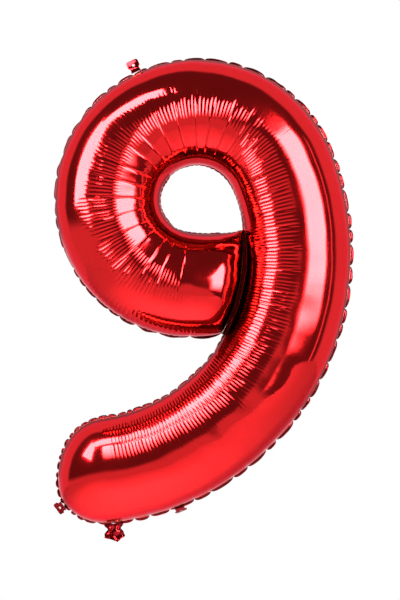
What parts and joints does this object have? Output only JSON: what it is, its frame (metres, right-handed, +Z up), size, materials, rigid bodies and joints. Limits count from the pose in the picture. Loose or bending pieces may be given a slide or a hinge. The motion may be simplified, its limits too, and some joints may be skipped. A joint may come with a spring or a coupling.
{
  "type": "foil number balloon",
  "caption": "Mirror-bright foil balloon in the shape of the figure 9, blown up, with a sealed edge, flexing hang tabs, a fill neck and a self-sealing valve.",
  "frame": {"origin": "centre of the top hang tab's hole, in the plane of the seal", "axes": "+Z up the figure, +X to the figure's right side as it is read, -Y out of its front face; the seal lies in y = 0"},
  "size_m": [0.5592, 0.1968, 0.9013],
  "materials": {
    "panel_film": "mirror-bright red metallised film, crinkled towards the seals",
    "heat_seal": "the same red film, fused and puckered",
    "valve_film": "clear thin film, slightly milky",
    "release_coat": "thin printed heat-resistant coat"
  },
  "bodies": {
    "envelope": {"front_panel": "panel_film", "back_panel": "panel_film", "outer_seal": "heat_seal", "hole_seal": "heat_seal", "crease_seal": "heat_seal"},
    "top_tab": {"top_tab_front_ply": "panel_film", "top_tab_back_ply": "panel_film"},
    "foot_tab": {"foot_tab_front_ply": "panel_film", "foot_tab_back_ply": "panel_film"},
    "bottom_tab": {"bottom_tab_front_ply": "panel_film", "bottom_tab_back_ply": "panel_film"},
    "fill_neck": {"neck_front_film": "panel_film", "neck_back_film": "panel_film", "neck_side_welds": "heat_seal"},
    "valve_front": {"valve_front_film": "valve_film", "valve_side_welds": "valve_film", "valve_release_strip": "release_coat"},
    "valve_back": {"valve_back_film": "valve_film"}
  },
  "joints": [
    {"name": "top_tab_flex", "type": "hinge", "parent": "envelope", "child": "top_tab", "pos_m": [0.00415, 0, -0.00894], "axis": [0.907, 0, 0.4211], "range_deg": [-90, 90], "stiffness_Nm_per_rad": 0.0003},
    {"name": "foot_tab_flex", "type": "hinge", "parent": "envelope", "child": "foot_tab", "pos_m": [-0.13181, 0, -0.81748], "axis": [-0.5788, 0, 0.8155], "range_deg": [-35, 150], "stiffness_Nm_per_rad": 0.0003},
    {"name": "bottom_tab_flex", "type": "hinge", "parent": "envelope", "child": "bottom_tab", "pos_m": [0.08696, 0, -0.82256], "axis": [-0.9307, 0, -0.3658], "range_deg": [-35, 150], "stiffness_Nm_per_rad": 0.0003},
    {"name": "neck_flex", "type": "hinge", "parent": "envelope", "child": "fill_neck", "pos_m": [-0.03569, 0, -0.85385], "axis": [-0.9922, 0, -0.1248], "range_deg": [-75, 75], "stiffness_Nm_per_rad": 0.001},
    {"name": "valve_front_part", "type": "hinge", "parent": "envelope", "child": "valve_front", "pos_m": [-0.03717, 0, -0.84204], "axis": [0.9922, 0, 0.1248], "range_deg": [0, 4], "stiffness_Nm_per_rad": 0.0002},
    {"name": "valve_back_part", "type": "hinge", "parent": "envelope", "child": "valve_back", "pos_m": [-0.03717, 0, -0.84204], "axis": [0.9922, 0, 0.1248], "range_deg": [-4, 0], "stiffness_Nm_per_rad": 0.0002}
  ],
  "couplings": [
    {"joint": "valve_back_part", "follows": "valve_front_part", "ratio": -1}
  ]
}
